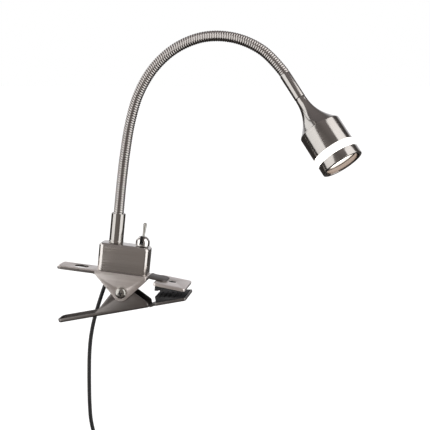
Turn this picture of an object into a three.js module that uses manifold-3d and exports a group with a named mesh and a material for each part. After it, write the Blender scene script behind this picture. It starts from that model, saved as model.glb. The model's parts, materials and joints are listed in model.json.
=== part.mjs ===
// Clip-on gooseneck reading lamp, in millimetres, +Z up.
// The origin is the middle of the upper jaw pad's gripping face, which lies on the desk top (z = 0).
// +X runs out along the jaw, away from the handles. +Y is the side the cord leaves from.
import * as THREE from 'three';
import { mergeVertices } from 'three/addons/utils/BufferGeometryUtils.js';
import Module from 'manifold-3d';

const wasm = await Module();
wasm.setup();

// ---------------------------------------------------------------- driving dimensions
const GAP = 0.3;                         // clearance between touching pieces
const PIVOT = [-50.5, -4.9];             // x, z of the clip's pivot
const TILT = 6;                          // the upper clip leans this many degrees towards the jaw
const DESK = 6;                          // thickness of the board held at rest
const SHEET = 1.2;                       // thickness of the pressed steel

// Upper and lower clip stampings: lengths along the plate and distances from the pivot.
const CLIP = { top: 19.3, width: 24.4, end: -67.5, earBack: -28.5, earFront: 25.5, flange: 3.4, ear: 8.3,
  holeX: -44.8, holeR: 7, jawDrop: 2.35 };
const LEVER = { top: 19.7, width: 20, end: -71, earBack: -30.5, earFront: 25.5, flange: 3.8, ear: 7.6,
  holeX: -50, holeR: 6.5, jawDrop: 0 };
const LEVER_ANGLE = -17.6;                 // of the lower clip from the upper one, at rest
const JAW = { start: 33, tip: 65, width: 42, flange: 3.1, holeX: 48.5, holeR: 4 };
const jawSlope = (spec) => spec.jawDrop / (JAW.tip - JAW.start);
const TONGUE = { end: 44, width: 22.5 };
const PIN_R = 2.5;

const BOX = { x: -1.9, length: 51, depth: 21, height: 27.8, corner: 5.5, fillet: 3, wall: 1.2 };
const FERRULE = { x: -12, height: 30.2, bottomR: 7.3, topR: 7 };
const BOX_SCREWS = { left: -21.4, right: 1.6 };
const RELIEF = { x: -15.5, z: 29, lean: 14, drop: 15 };
const TOGGLE = { x: 15, domeR: 7, domeHeight: 10.5, leverTop: 23.5, rest: 12 };

// Gooseneck: ten links, each bent by its turn, leaning sideways by its lean where it starts.
const NECK_R = 5;
const NECK_STUB = 4;
const NECK_LINK = 29.2;
const NECK_TURNS = [0.5, 2.5, 3.2, 11, 17.3, 18, 22.4, 22.6, 19.8, 20.9];
const NECK_LEANS = [0, 0, 0, 0, 0, 0, 0, 0, 5.2, 6.7];
const HEAD_LEAN = 6.7;
const BALL_R = 4.5;
const CUP_R = 5;
const CUP_RIM = 2;

// Head, measured along its axis from the top of the upper ferrule.
const HEAD = { neckR: 5.3, r: 20.5, ferrule: 28, flare: 35, cylinder: 24.3, ring: 7, bezel: 9.2, wall: 1.5 };

// Cord: the route of its middle, down from the strain relief, along the floor and into its coil.
const CORD_R = 2;
const FLOOR = -185;
const CORD_Y = 17.5;
const CORD_ROUTE = [
  [-68.1, 11.1], [-71.3, 2.9], [-75.9, -8.9], [-81.3, -24.8], [-85.2, -37.6], [-87.8, -48.2],
  [-90.2, -62], [-91.6, -78], [-92.2, -96], [-92.4, -114], [-92.2, -132], [-91, -149],
  [-87.2, -164], [-79.6, -175.5], [-68.5, -181.6], [-57, -183],
];
const COIL = { x: -25, y: -15.7, inner: 13.6, outer: 35.4, height: 8.4 };
const PLUG = { x: -92, y: -47.5, length: 40, width: 27, height: 24 };

// ---------------------------------------------------------------- materials
const finish = (color, roughness, metalness) =>
  new THREE.MeshStandardMaterial({ color, roughness, metalness });
const nickel = finish(0x9a928b, 0.32, 1);
const chrome = finish(0xc9c6c2, 0.12, 1);
const blackRubber = finish(0x161515, 0.85, 0);
const blackPlastic = finish(0x1c1c1d, 0.5, 0);
const steel = finish(0xa8a6a3, 0.35, 1);
const frosted = finish(0xfdf8ee, 0.5, 0);
const clearLens = finish(0xf5f2ea, 0.2, 0);
const mirror = finish(0xe8e4dc, 0.1, 1);
const aluminium = finish(0xb9bbbd, 0.4, 1);
const boardWhite = finish(0xe9e9e4, 0.6, 0);
const ledYellow = finish(0xe9cf60, 0.5, 0);
const brass = finish(0xb59a52, 0.3, 1);

// ---------------------------------------------------------------- solids
const rad = THREE.MathUtils.degToRad;
const vec = (x, y, z) => new THREE.Vector3(x, y, z);

/** Turns a closed three.js geometry into a manifold solid whose faces point out. */
function solid(geometry) {
  geometry.deleteAttribute('normal');
  geometry.deleteAttribute('uv');
  const merged = mergeVertices(geometry, 1e-3);
  const points = merged.attributes.position;
  const corners = [];
  let volume = 0;
  const [a, b, c] = [vec(), vec(), vec()];
  for (let i = 0; i < merged.index.count; i += 3) {
    const [i0, i1, i2] = [0, 1, 2].map((k) => merged.index.getX(i + k));
    if (i0 === i1 || i1 === i2 || i2 === i0) continue;
    corners.push(i0, i1, i2);
    a.fromBufferAttribute(points, i0);
    b.fromBufferAttribute(points, i1);
    c.fromBufferAttribute(points, i2);
    volume += a.dot(b.cross(c));
  }
  if (volume < 0) corners.reverse();
  return new wasm.Manifold(new wasm.Mesh({
    numProp: 3,
    vertProperties: new Float32Array(points.array),
    triVerts: new Uint32Array(corners),
  }));
}

/** Turns a manifold solid back into a geometry. */
function geometryOf(shape) {
  const mesh = shape.getMesh();
  const geometry = new THREE.BufferGeometry();
  geometry.setAttribute('position', new THREE.BufferAttribute(mesh.vertProperties, 3));
  geometry.setIndex(new THREE.BufferAttribute(mesh.triVerts, 1));
  geometry.computeVertexNormals();
  return geometry;
}

const shapeOf = (points) => new THREE.Shape(points.map(([x, y]) => new THREE.Vector2(x, y)));
const union = (...shapes) => shapes.reduce((sum, shape) => sum.add(shape));

/** A plate: an outline in XY, from z0 to z1. */
function plate(shape, z0, z1) {
  const depth = z1 - z0;
  const geometry = new THREE.ExtrudeGeometry(shape, { depth, bevelEnabled: false, curveSegments: 3 });
  geometry.translate(0, 0, z0);
  return solid(geometry);
}

/** A wall: an outline in XZ, from y0 to y1. */
function wall(shape, y0, y1) {
  const depth = y1 - y0;
  const geometry = new THREE.ExtrudeGeometry(shape, { depth, bevelEnabled: false, curveSegments: 5 });
  geometry.rotateX(Math.PI / 2);
  geometry.translate(0, y1, 0);
  return solid(geometry);
}

/** A turned piece about Z: its profile of [radius, height] runs from the axis back to it, or closes. */
function turned(profile, segments = 24) {
  const geometry = new THREE.LatheGeometry(profile.map(([r, z]) => new THREE.Vector2(r, z)), segments);
  geometry.rotateX(Math.PI / 2);
  return solid(geometry);
}

/** A round bar about Z from z0 to z1, or a cone when r1 is given. */
const bar = (r, z0, z1, segments = 16, r1 = r) => turned([[0, z0], [r, z0], [r1, z1], [0, z1]], segments);

/** A tube about Z with its bore all the way. */
const ring = (outer, inner, z0, z1, segments = 24) =>
  turned([[inner, z0], [outer, z0], [outer, z1], [inner, z1], [inner, z0]], segments);

/** A block between two corners. */
function block(x0, y0, z0, x1, y1, z1) {
  const geometry = new THREE.BoxGeometry(x1 - x0, y1 - y0, z1 - z0);
  geometry.translate((x0 + x1) / 2, (y0 + y1) / 2, (z0 + z1) / 2);
  return solid(geometry);
}

/** A round bar along Y through (x, z). */
const crossBar = (r, x, z, y0, y1, segments = 16) =>
  bar(r, y0, y1, segments).rotate([-90, 0, 0]).translate([x, 0, z]);

/** A rectangle with round corners; the corners at x1 are square when only the low side is round. */
function roundedRectangle(x0, y0, x1, y1, r, lowSideOnly = false) {
  const shape = new THREE.Shape();
  const far = lowSideOnly ? 0 : r;
  shape.moveTo(x0 + r, y0);
  shape.lineTo(x1 - far, y0);
  if (far) shape.absarc(x1 - r, y0 + r, r, -Math.PI / 2, 0, false);
  else shape.lineTo(x1, y0);
  shape.lineTo(x1, y1 - far);
  if (far) shape.absarc(x1 - r, y1 - r, r, 0, Math.PI / 2, false);
  else shape.lineTo(x1, y1);
  shape.lineTo(x0 + r, y1);
  shape.absarc(x0 + r, y1 - r, r, Math.PI / 2, Math.PI, false);
  shape.lineTo(x0, y0 + r);
  shape.absarc(x0 + r, y0 + r, r, Math.PI, Math.PI * 1.5, false);
  return shape;
}

/** A hexagon nut about Z. */
const nut = (acrossFlats, boreR, z0, z1) =>
  bar(acrossFlats / Math.sqrt(3), z0, z1, 6).subtract(bar(boreR, z0 - 1, z1 + 1, 16));

// ---------------------------------------------------------------- scene graph
const lamp = new THREE.Group();
const clip = new THREE.Group();          // the upper clip's frame: origin on the pivot
clip.position.set(PIVOT[0], 0, PIVOT[1]);
clip.rotation.y = rad(TILT);
lamp.add(clip);
const lever = new THREE.Group();         // the lower clip's frame: origin on the pivot
lever.rotation.y = rad(LEVER_ANGLE);
clip.add(lever);

function add(name, shape, material, parent) {
  const mesh = new THREE.Mesh(geometryOf(shape), material.clone());
  mesh.name = name;
  parent.add(mesh);
  return mesh;
}

// ---------------------------------------------------------------- clip stampings
/** The point where the line from (x, z) touches the pivot's ear circle, on the given side. */
function earTangent(x, z, r, side) {
  const distance = Math.hypot(x, z);
  const toCentre = Math.atan2(-z, -x);
  const spread = Math.asin(r / distance);
  const length = Math.sqrt(distance ** 2 - r ** 2);
  const angle = toCentre + side * spread;
  return [x + length * Math.cos(angle), z + length * Math.sin(angle)];
}

/** The side wall of a stamping: its flange, and an ear that comes down round the pivot. */
function sideOutline(spec) {
  const low = spec.top - spec.flange;
  const [backX, backZ] = earTangent(spec.earBack, low, spec.ear, -1);
  const [frontX, frontZ] = earTangent(spec.earFront, low, spec.ear, 1);
  const shape = new THREE.Shape();
  shape.moveTo(spec.earBack, spec.top - SHEET / 2);
  shape.lineTo(spec.earBack, low);
  shape.lineTo(backX, backZ);
  shape.absarc(0, 0, spec.ear, Math.atan2(backZ, backX), Math.atan2(frontZ, frontX), false);
  shape.lineTo(spec.earFront, low);
  shape.lineTo(spec.earFront, spec.top - SHEET / 2);
  return shape;
}

/** A pressed channel with a handle at one end and two ears, its web on top. */
function stamping(spec) {
  const half = spec.width / 2;
  const outer = roundedRectangle(spec.end, -half, spec.earFront, half, 4, true);
  const inner = roundedRectangle(spec.end + SHEET, SHEET - half, spec.earFront + 1, half - SHEET, 2.8, true);
  let shape = plate(outer, spec.top - spec.flange, spec.top)
    .subtract(plate(inner, spec.top - spec.flange - 1, spec.top - SHEET));
  for (const y of [-half, half - SHEET]) shape = shape.add(wall(sideOutline(spec), y, y + SHEET));
  return shape
    .subtract(bar(spec.holeR, spec.top - 2, spec.top + 1).translate([spec.holeX, 0, 0]))
    .subtract(crossBar(PIN_R + 0.1, 0, 0, -20, 20));
}

/** The narrow tongue that carries the jaw plate: level at first, then sloping with the jaw. */
function tongue(spec) {
  const slope = jawSlope(spec);
  const bend = spec.earFront + 4;
  const endZ = spec.top - 0.6 - slope * (TONGUE.end - bend);
  const outline = shapeOf([
    [spec.earFront - 1, spec.top], [spec.earFront + 1, spec.top], [bend, spec.top - 0.6], [TONGUE.end, endZ],
    [TONGUE.end, endZ - SHEET], [bend, spec.top - 0.6 - SHEET], [spec.earFront - 1, spec.top - SHEET],
  ]);
  const half = Math.min(TONGUE.width, spec.width - 0.4) / 2;
  const chamfer = 3.5;
  const plan = shapeOf([
    [0, -half], [TONGUE.end - chamfer, -half], [TONGUE.end, chamfer - half],
    [TONGUE.end, half - chamfer], [TONGUE.end - chamfer, half], [0, half],
  ]);
  return wall(outline, -half, half).intersect(plate(plan, spec.top - 6, spec.top + 1));
}

/** The wide jaw plate, a shallow tray turned down all round, under the tongue. */
function jawPlate(spec) {
  const top = spec.top - 0.6 - SHEET - GAP;
  const slope = Math.atan(jawSlope(spec));
  const length = (JAW.tip - JAW.start) / Math.cos(slope);
  const half = JAW.width / 2;
  const outer = roundedRectangle(0, -half, length, half, 2.5);
  const inner = roundedRectangle(SHEET, SHEET - half, length - SHEET, half - SHEET, 1.4);
  return plate(outer, -JAW.flange, 0)
    .subtract(plate(inner, -JAW.flange - 1, -SHEET))
    .subtract(bar(JAW.holeR, -3, 1).translate([JAW.holeX - JAW.start, 0, 0]))
    .rotate([0, THREE.MathUtils.radToDeg(slope), 0])
    .translate([JAW.start, 0, top - 0.25]);
}

/** A rubber wedge under a jaw plate whose gripping face is the line z = level + rise * x. */
function jawPad(spec, level, rise) {
  const top = spec.top - 0.6 - SHEET - GAP - 0.25 - SHEET - GAP - 0.3;
  const slope = jawSlope(spec);
  const [x0, x1] = [JAW.start + SHEET + GAP + 0.4, JAW.tip - SHEET - GAP - 0.9];
  const under = (x) => top - 0.1 - slope * (x - JAW.start);
  const half = JAW.width / 2 - SHEET - GAP;
  const body = wall(shapeOf([
    [x0, level + rise * x0], [x1, level + rise * x1], [x1, under(x1)], [x0, under(x0)],
  ]), -half, half);
  const boss = bar(JAW.holeR - 0.4, -2, SHEET + 0.2, 16)
    .rotate([0, THREE.MathUtils.radToDeg(Math.atan(slope)), 0])
    .translate([JAW.holeX + 0.1, 0, under(JAW.holeX)]);
  return body.add(boss);
}

/** The same piece on the lower clip, upside down. */
const flipped = (shape) => shape.mirror([0, 0, 1]);

function clipPieces() {
  const tilt = Math.tan(rad(TILT));
  const lowerTilt = Math.tan(rad(TILT + LEVER_ANGLE));
  const upper = union(stamping(CLIP), tongue(CLIP))
    .subtract(bar(4.5, 15, 22).translate([FERRULE.x, 0, 0]))
    .subtract(bar(1.6, 15, 22, 12).translate([BOX_SCREWS.left, 0, 0]))
    .subtract(bar(1.6, 15, 22, 12).translate([BOX_SCREWS.right, 0, 0]));
  add('upper_clip', upper, nickel, clip);
  add('upper_jaw_plate', jawPlate(CLIP), nickel, clip);
  add('upper_jaw_pad', jawPad(CLIP, -PIVOT[1] / Math.cos(rad(TILT)), tilt), blackRubber, clip);

  add('lower_clip', flipped(union(stamping(LEVER), tongue(LEVER))), nickel, lever);
  add('lower_jaw_plate', flipped(jawPlate(LEVER)), nickel, lever);
  const lowerLevel = (DESK + PIVOT[1]) / Math.cos(rad(TILT + LEVER_ANGLE));
  add('lower_jaw_pad', flipped(jawPad(LEVER, lowerLevel, -lowerTilt)), blackRubber, lever);
}

// ---------------------------------------------------------------- pivot and spring
function pivotPieces() {
  const face = CLIP.width / 2;
  const head = turned([[0, 0], [5.6, 0], [5.5, 1], [4.6, 2.2], [2.8, 3], [0, 3.3]], 24)
    .subtract(block(-2.6, -0.6, 2.2, 2.6, 0.6, 5))
    .subtract(block(-0.6, -2.6, 2.2, 0.6, 2.6, 5))
    .rotate([90, 0, 0])
    .translate([0, -face - GAP, 0]);
  const tail = face + GAP + 5;
  add('pivot_screw', head.add(crossBar(PIN_R - GAP, 0, 0, -face - GAP - 0.2, tail)), chrome, clip);
  const cap = nut(9, PIN_R - GAP + 0.3, 0, 4).rotate([-90, 0, 0]).translate([0, face + GAP, 0]);
  add('pivot_nut', cap, steel, clip);

  const [wire, coilR, turns, reach] = [0.9, 4.4, 3, 15];
  const points = [];
  const start = rad(150);
  points.push(vec(coilR * Math.cos(start) + reach * Math.cos(start + Math.PI / 2), -5,
    coilR * Math.sin(start) + reach * Math.sin(start + Math.PI / 2) * 0.9));
  const steps = turns * 14;
  for (let i = 0; i <= steps; i++) {
    const angle = start - (i / steps) * (turns * 2 * Math.PI - rad(60));
    points.push(vec(coilR * Math.cos(angle), -5 + (10 * i) / steps, coilR * Math.sin(angle)));
  }
  const end = start - turns * 2 * Math.PI + rad(60);
  points.push(vec(coilR * Math.cos(end) + 13 * Math.cos(end - Math.PI / 2), 5,
    coilR * Math.sin(end) + 13 * Math.sin(end - Math.PI / 2)));
  add('torsion_spring', sweep(points, wire, 6), steel, clip);
}

/** A round section carried along a run of points. */
function sweep(points, r, sides, step = 1) {
  const curve = new THREE.CatmullRomCurve3(points, false, 'centripetal');
  const section = new THREE.Shape();
  for (let i = 0; i < sides; i++) {
    const angle = ((i + 0.5) / sides) * 2 * Math.PI;
    const [x, y] = [r * Math.cos(angle), r * Math.sin(angle)];
    if (i) section.lineTo(x, y);
    else section.moveTo(x, y);
  }
  section.closePath();
  return solid(new THREE.ExtrudeGeometry(section, {
    steps: Math.round((points.length - 1) * step), extrudePath: curve, curveSegments: 1,
  }));
}

// ---------------------------------------------------------------- switch box
/** A box with round upright corners and a rounded top, open underneath, standing on z0. */
function roundedBlock(x, length, depth, z0, z1, corner, fillet) {
  const [hx, hy] = [length / 2, depth / 2];
  const plan = roundedRectangle(x - hx, -hy, x + hx, hy, corner);
  const geometry = new THREE.ExtrudeGeometry(plan, {
    depth: z1 - z0, bevelEnabled: true, bevelThickness: fillet, bevelSize: fillet, bevelOffset: -fillet,
    bevelSegments: 2, curveSegments: 3,
  });
  geometry.translate(0, 0, z0 - fillet);
  return solid(geometry).subtract(block(x - 60, -60, z0 - 20, x + 60, 60, z0));
}

const BOX_Z = CLIP.top + GAP;
const BOX_TOP = BOX_Z + BOX.height;

function boxPieces() {
  const { x, length, depth, corner, fillet, wall: thick } = BOX;
  const hollow = (z0, z1) => roundedBlock(x, length - 2 * thick, depth - 2 * thick, z0, z1,
    corner - thick, fillet - thick);
  const cavity = hollow(BOX_Z, BOX_TOP - thick).add(hollow(BOX_Z - 2, BOX_Z + 8));
  let shell = roundedBlock(x, length, depth, BOX_Z, BOX_TOP, corner, fillet).subtract(cavity);
  for (const boss of Object.values(BOX_SCREWS)) {
    shell = shell.add(bar(2.6, BOX_Z, BOX_TOP - 0.5, 12).translate([boss, 0, 0]));
    shell = shell.subtract(bar(1.2, BOX_Z - 1, BOX_Z + 12, 10).translate([boss, 0, 0]));
  }
  shell = shell
    .subtract(bar(4.3, BOX_TOP - 5, BOX_TOP + 1).translate([FERRULE.x, 0, 0]))
    .subtract(bar(3.6, BOX_TOP - 5, BOX_TOP + 1).translate([TOGGLE.x, 0, 0]))
    .subtract(crossBar(3.1, RELIEF.x, RELIEF.z, 0, 20));
  add('switch_box', shell, nickel, clip);
  for (const [side, boss] of Object.entries(BOX_SCREWS)) {
    const screw = union(bar(2.5, CLIP.top - SHEET - 2, CLIP.top - SHEET - GAP, 14),
      bar(0.9, CLIP.top - SHEET - 1, BOX_Z + 8, 10));
    add(`box_screw_${side}`, screw.translate([boss, 0, 0]), steel, clip);
  }
}

function reliefPieces() {
  const knee = turned([[0, -3.5], [1.9, -2.9], [3.1, -1.6], [3.5, 0], [3.1, 1.6], [1.9, 2.9], [0, 3.5]], 16);
  const down = bar(3.5, -0.1, RELIEF.drop, 16, 2.7)
    .rotate([180, RELIEF.lean, 0]);
  const across = crossBar(2.8, 0, 0, BOX.depth / 2 - 3.2 - CORD_Y, 0.1, 16);
  const collar = crossBar(4.2, 0, 0, BOX.depth / 2 + GAP - CORD_Y, BOX.depth / 2 + 1.9 - CORD_Y, 16);
  add('strain_relief', union(knee, down, across, collar).translate([RELIEF.x, CORD_Y, RELIEF.z]),
    blackRubber, clip);
}

// ---------------------------------------------------------------- toggle switch
function togglePieces() {
  const base = new THREE.Group();
  base.position.set(TOGGLE.x, 0, BOX_TOP);
  clip.add(base);
  const under = -BOX.wall - GAP;
  const housing = union(block(-6, -5, under - 12, 6, 5, under), bar(3.1, under - 0.2, GAP, 14));
  add('toggle_body', housing, blackPlastic, base);
  for (const [i, x] of [-3.5, 0, 3.5].entries()) {
    const tag = block(x - 0.4, -1.1, under - 16, x + 0.4, 1.1, under - 12 - GAP);
    add(`toggle_terminal_${i + 1}`, tag, brass, base);
  }
  const r = TOGGLE.domeR;
  const dome = turned([[0, 2 * GAP], [r - 0.4, 2 * GAP], [r, 1.4], [r, 4.2], [r - 0.7, 6.6], [r - 2.2, 8.8],
    [r - 4.2, 10.1], [0, TOGGLE.domeHeight]], 24)
    .subtract(block(-1.9, -10, 2.6, 1.9, 10, 20));
  add('toggle_dome', dome, chrome, base);

  const pivotZ = 4.6;
  const bat = turned([[0, -1.7], [1.2, -1.2], [1.6, 0], [1.25, 1.2], [1.15, 6], [1.35, 12], [1.7, 16.5],
    [1.8, TOGGLE.leverTop - pivotZ - 1.2], [1.2, TOGGLE.leverTop - pivotZ - 0.2],
    [0, TOGGLE.leverTop - pivotZ]], 14)
    .rotate([-TOGGLE.rest, 0, 0])
    .translate([0, 0, pivotZ]);
  add('toggle_lever', bat, chrome, base);
}

// ---------------------------------------------------------------- gooseneck
/** The middle line of a link that bends by turn degrees about Y over the given length. */
class LinkCurve extends THREE.Curve {
  constructor(turn, from, to) {
    super();
    this.turn = rad(turn);
    this.from = from;
    this.to = to;
  }

  getPoint(t) {
    const s = this.from + (this.to - this.from) * t;
    if (Math.abs(this.turn) < 1e-6) return vec(0, 0, s);
    const bend = NECK_LINK / this.turn;
    const angle = s / bend;
    return vec(bend * (1 - Math.cos(angle)), 0, bend * Math.sin(angle));
  }
}

/** A tube along a link's middle line. */
function linkTube(turn, from, to, r, sides) {
  const section = new THREE.Shape();
  section.absarc(0, 0, r, 0, Math.PI * 2, false);
  const steps = Math.max(1, Math.round(Math.abs(turn) / 9));
  return solid(new THREE.ExtrudeGeometry(section, {
    steps, extrudePath: new LinkCurve(turn, from, to), curveSegments: sides / 2,
  }));
}

/** The half ball that a link ends in, with its middle at the origin. */
function ball(sides) {
  const profile = [[0, -3.6], [2.7, -3.6]];
  for (let i = 0; i <= 4; i++) {
    const angle = rad(-42 + i * 33);
    profile.push([BALL_R * Math.cos(angle), BALL_R * Math.sin(angle)]);
  }
  profile[profile.length - 1] = [0, BALL_R];
  return turned(profile, sides);
}

/** The hollow that a cup leaves round the ball before it. */
function cupHollow(sides) {
  const profile = [[0, -3], [CUP_R, -3]];
  for (let i = 0; i <= 3; i++) {
    const angle = rad(i * 30);
    profile.push([CUP_R * Math.cos(angle), CUP_R * Math.sin(angle)]);
  }
  profile[profile.length - 1] = [0, CUP_R];
  return turned(profile, sides);
}

const NECK_SIDES = 12;

/** Puts a shape at the far end of a link's middle line. */
const atEnd = (shape, turn, curve) => {
  const end = curve.getPoint(1);
  return shape.rotate([0, turn, 0]).translate([end.x, end.y, end.z]);
};

function link(turn) {
  const shoulder = 2.5;
  const whole = new LinkCurve(turn, 0, NECK_LINK);
  const body = linkTube(turn, CUP_RIM, NECK_LINK - shoulder, NECK_R, NECK_SIDES);
  const bore = linkTube(turn, CUP_R + 1, NECK_LINK - 4, 3, 6);
  return body
    .subtract(cupHollow(NECK_SIDES))
    .subtract(bore)
    .add(atEnd(ball(NECK_SIDES), turn, whole))
    .subtract(atEnd(bar(1, -8, BALL_R + 1, 6), turn, whole))
    .subtract(bar(1, 0, CUP_R + 3, 6));
}

function neckPieces() {
  const base = new THREE.Group();
  base.position.set(FERRULE.x, 0, BOX_TOP + FERRULE.height + NECK_STUB);
  clip.add(base);
  add('neck_base', union(bar(NECK_R, -NECK_STUB - 14, -2.5, NECK_SIDES), ball(NECK_SIDES))
    .subtract(bar(1, -30, BALL_R + 1, 6)), nickel, base);

  let here = base;
  for (const [i, turn] of NECK_TURNS.entries()) {
    const start = new THREE.Group();
    start.rotation.x = rad(NECK_LEANS[i]);
    here.add(start);
    add(`neck_link_${i + 1}`, link(turn), nickel, start);
    const end = new THREE.Group();
    const point = new LinkCurve(turn, 0, NECK_LINK).getPoint(1);
    end.position.copy(point);
    end.rotation.y = rad(turn);
    start.add(end);
    here = end;
  }
  const head = new THREE.Group();
  head.rotation.x = rad(HEAD_LEAN);
  here.add(head);
  add('neck_end', bar(NECK_R, CUP_RIM, NECK_STUB, NECK_SIDES)
    .add(bar(3.4, NECK_STUB - 0.5, NECK_STUB + 7, NECK_SIDES))
    .subtract(cupHollow(NECK_SIDES))
    .subtract(bar(1, 0, 20, 6)), nickel, head);
  return head;
}

function ferrulePieces() {
  const { height, bottomR, topR } = FERRULE;
  const base = new THREE.Group();
  base.position.set(FERRULE.x, 0, BOX_TOP);
  clip.add(base);
  const tube = turned([[2.4, -8], [4, -8], [4, GAP], [bottomR, GAP], [bottomR, 3], [topR, height - 0.8],
    [topR - 0.5, height], [5.3, height], [5.3, height - 14.5], [2.4, height - 16.5], [2.4, -8]], 24);
  add('lower_ferrule', tube, nickel, base);
  add('ferrule_nut', nut(11, 4.3, -BOX.wall - GAP - 4, -BOX.wall - GAP), steel, base);
}

// ---------------------------------------------------------------- head
/** The outside radius of the flare at height z above its seam: it opens like a trumpet. */
const flareR = (z) => HEAD.neckR + (HEAD.r - HEAD.neckR) * (z / HEAD.flare) ** 2.3;

function headPieces(head) {
  const start = NECK_STUB + GAP;
  const seam = start + HEAD.ferrule;
  const axis = new THREE.Group();
  axis.position.z = seam;
  head.add(axis);
  const { r, flare, cylinder, wall: thick } = HEAD;
  const shellEnd = flare + cylinder;

  add('upper_ferrule', turned([[3.7, -HEAD.ferrule], [HEAD.neckR, -HEAD.ferrule], [HEAD.neckR, -GAP],
    [2.9, -GAP], [2.9, 22], [1.6, 22], [1.6, -HEAD.ferrule + 8], [3.7, -HEAD.ferrule + 8],
    [3.7, -HEAD.ferrule]], 20), nickel, axis);
  add('head_nut', nut(9, 3.2, 17, 20), steel, axis);

  const outside = [[3.2, 0]];
  const inside = [[3.2, 6]];
  for (let i = 0; i <= 6; i++) outside.push([flareR((flare * i) / 6), (flare * i) / 6]);
  for (let i = 3; i <= 6; i++) {
    const z = (flare * i) / 6;
    inside.push([flareR(z) - thick - 0.4, z]);
  }
  inside[1] = [3.8, 10];
  inside.push([r - thick, flare + 2], [r - thick, shellEnd]);
  add('head_shell', turned([...outside, [r, shellEnd], ...inside.reverse(), [3.2, 0]], 28), nickel, axis);

  const sinkR = r - thick - 0.5;
  const sink = turned([[0, 26], [9, 26], [9, 36], [sinkR, 37.5], [sinkR, 42], [0, 42]], 24)
    .subtract(block(-7, -1, 20, -5, 1, 50));
  add('heat_sink', sink, aluminium, axis);
  const board = bar(13, 42 + GAP, 43.6 + GAP, 24);
  add('led_board', board.subtract(bar(1.2, 40, 50, 8).translate([9.5, 0, 0]))
    .subtract(bar(1.2, 40, 50, 8).translate([-9.5, 0, 0])), boardWhite, axis);
  for (const [side, x] of [['left', -9.5], ['right', 9.5]]) {
    const screw = union(bar(1.8, 44.2, 45.4, 10), bar(0.8, 42 + GAP, 44.3, 8));
    add(`led_screw_${side}`, screw.translate([x, 0, 0]), steel, axis);
  }
  add('led_chip', block(-2.6, -2.6, 44.2, 2.6, 2.6, 45.2), ledYellow, axis);

  const ringEnd = shellEnd + HEAD.ring;
  const bezelEnd = ringEnd + HEAD.bezel;
  add('diffuser_ring', ring(r - 0.1, 17.5, shellEnd + GAP, ringEnd, 28), frosted, axis);
  const bezel = turned([[15.7, 50], [17.2, 50], [17.2, ringEnd + GAP], [r, ringEnd + GAP],
    [r, bezelEnd - 0.8], [r - 0.8, bezelEnd], [17.9, bezelEnd], [17.3, bezelEnd - 0.6],
    [17.3, ringEnd + 1], [15.7, ringEnd + 1], [15.7, 50]], 28);
  add('head_bezel', bezel, nickel, axis);
  const bowl = turned([[4.5, 46], [6, 46], [15.3, 62], [15.3, 63.5], [14.2, 63.5], [4.5, 47], [4.5, 46]], 24);
  add('reflector', bowl, mirror, axis);
  add('lens', bar(17, ringEnd + 1 + GAP, ringEnd + 3, 28), clearLens, axis);
  add('lens_ring', ring(17, 16, ringEnd + 3 + GAP, ringEnd + 4.2, 28), blackPlastic, axis);
}

// ---------------------------------------------------------------- cord
function cordPieces() {
  const route = CORD_ROUTE.map(([x, z]) => vec(x, CORD_Y, z));
  const ringEdge = COIL.x - Math.sqrt(COIL.outer ** 2 - (CORD_Y - CORD_R - COIL.y) ** 2);
  route.push(vec(ringEdge - 0.6, CORD_Y, FLOOR + CORD_R));
  add('cord', sweep(route, CORD_R, 8, 2), blackRubber, lamp);

  const coil = ring(COIL.outer, COIL.inner, FLOOR, FLOOR + COIL.height, 28).translate([COIL.x, COIL.y, 0]);
  add('cord_coil', coil, blackRubber, lamp);

  const relief = bar(3.4, 0, 10, 12, 2.6).rotate([0, 90, 0]);
  const { x, y, length, width, height } = PLUG;
  const plan = roundedRectangle(x - length, y - width / 2, x, y + width / 2, 4);
  const body = plate(plan, FLOOR, FLOOR + height).add(relief.translate([x - 0.2, y, FLOOR + 6]));
  add('plug_body', body, blackPlastic, lamp);
  for (const [side, offset] of [['left', -6.35], ['right', 6.35]]) {
    add(`plug_blade_${side}`, block(x - length - 17, y + offset - 0.8, FLOOR + 9, x - length - GAP,
      y + offset + 0.8, FLOOR + 15.3), brass, lamp);
  }
  const tail = [vec(x + 10.3, y, FLOOR + 6), vec(-66, y, FLOOR + 3.6), vec(-56, y + 1, FLOOR + 3),
    vec(COIL.x - Math.sqrt(COIL.outer ** 2 - (COIL.y - y - 2 - CORD_R) ** 2) - 1, y + 2, FLOOR + 3.2)];
  add('cord_tail', sweep(tail, CORD_R, 8, 2), blackRubber, lamp);
  add('cord_tie', block(COIL.x + COIL.inner - 2.5, COIL.y - 3, FLOOR + COIL.height + GAP, COIL.x + COIL.outer,
    COIL.y + 3, FLOOR + COIL.height + 1.3), blackPlastic, lamp);
}

clipPieces();
pivotPieces();
boxPieces();
reliefPieces();
togglePieces();
ferrulePieces();
headPieces(neckPieces());
cordPieces();

export default lamp;
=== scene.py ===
"""Clip-on gooseneck reading lamp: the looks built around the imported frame. Metres, +Z up."""
import json
import math

import bmesh
import bpy
from mathutils import Matrix, Vector

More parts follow.
